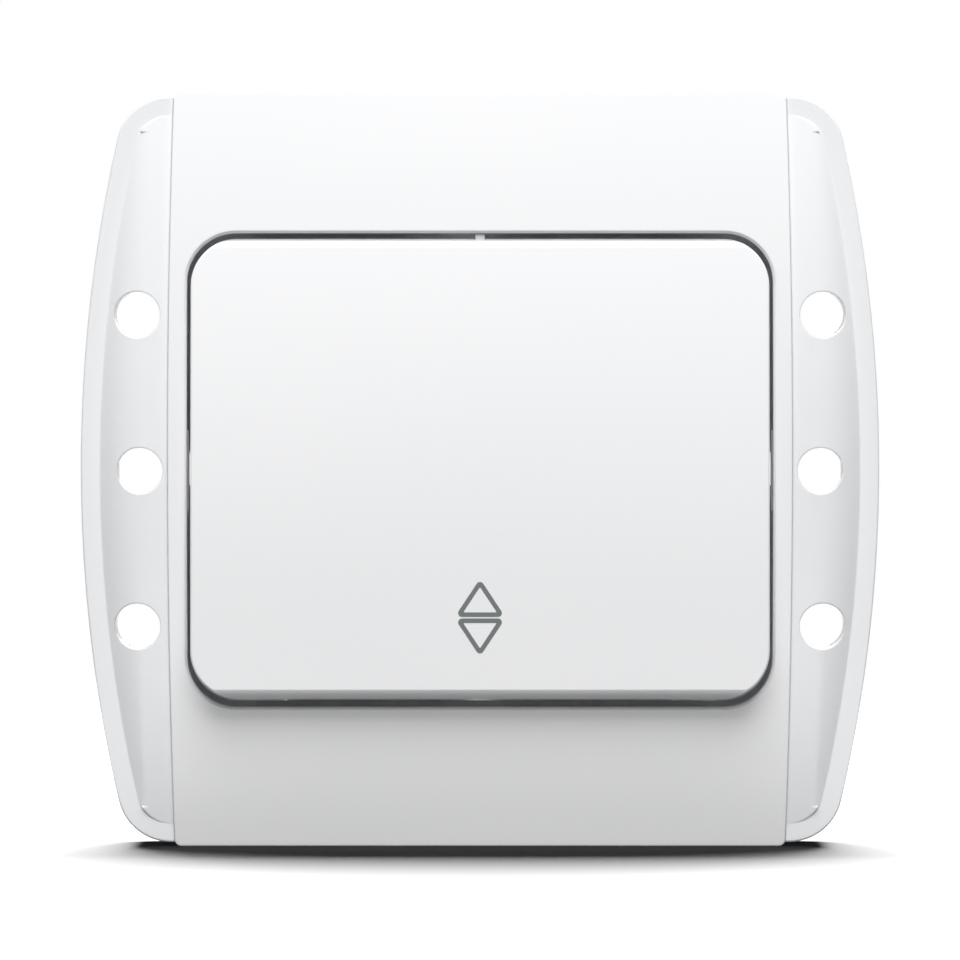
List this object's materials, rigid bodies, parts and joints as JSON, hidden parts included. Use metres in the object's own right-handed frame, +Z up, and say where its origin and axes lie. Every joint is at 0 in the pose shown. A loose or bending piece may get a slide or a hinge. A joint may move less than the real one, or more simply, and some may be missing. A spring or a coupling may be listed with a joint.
{
  "type": "two-way light switch",
  "caption": "Flush two-way light switch: a wide tilting key in a smooth arched plate between two domed side wings with round see-through holes, on a steel strap for a round wall box.",
  "frame": {"origin": "centre of the two box screw slots, on the strap's back face, which lies in the wall's plane", "axes": "+X to the right and +Z up as the switch is seen on the wall, +Y into the wall"},
  "size_m": [0.085, 0.0377, 0.0804],
  "materials": {
    "white_frame": "smooth, soft gloss",
    "white_plate": "smooth, soft gloss",
    "white_key": "smooth, soft gloss",
    "grey_moulding": "satin moulding",
    "acetal": "satin, slightly waxy",
    "base_moulding": "satin moulding",
    "cover_moulding": "satin moulding",
    "spring_steel": "drawn wire",
    "contact_brass": "bright rolled strip",
    "silver_alloy": "bright silver alloy",
    "plated_steel": "bright zinc plating",
    "galvanised_steel": "dull zinc coating",
    "rivet_aluminium": "bright, clenched"
  },
  "bodies": {
    "housing": {"wing_frame": "white_frame", "centre_plate": "white_plate", "fixed_contacts": "silver_alloy", "common_terminal": "contact_brass", "upper_terminal": "contact_brass", "lower_terminal": "contact_brass", "terminal_clamps": "plated_steel", "terminal_screws": "plated_steel", "mechanism_base": "base_moulding", "rear_cover": "cover_moulding", "support_strap": "galvanised_steel", "assembly_rivets": "rivet_aluminium", "claw_screws": "plated_steel", "claw_nuts": "plated_steel"},
    "key": {"rocker": "white_key", "tumbler": "grey_moulding", "toggle_spring": "spring_steel", "toggle_plunger": "acetal"},
    "contact_arm": {"changeover_blade": "contact_brass", "blade_contacts": "silver_alloy"},
    "left_claw": {"claw_left": "galvanised_steel"},
    "right_claw": {"claw_right": "galvanised_steel"}
  },
  "joints": [
    {"name": "rocker_tilt", "type": "hinge", "parent": "housing", "child": "key", "pos_m": [0, -0.005, 0], "axis": [1, 0, 0], "range_deg": [0, 6]},
    {"name": "blade_rock", "type": "hinge", "parent": "housing", "child": "contact_arm", "pos_m": [0, 0.01, 0], "axis": [1, 0, 0], "range_deg": [-12, 0]},
    {"name": "claw_left_spread", "type": "hinge", "parent": "housing", "child": "left_claw", "pos_m": [-0.0231, 0.0022, 0], "axis": [0, 0, 1], "range_deg": [0, 20]},
    {"name": "claw_right_spread", "type": "hinge", "parent": "housing", "child": "right_claw", "pos_m": [0.0231, 0.0022, 0], "axis": [0, 0, -1], "range_deg": [0, 20]}
  ],
  "couplings": [
    {"joint": "blade_rock", "follows": "rocker_tilt", "ratio": -2}
  ]
}
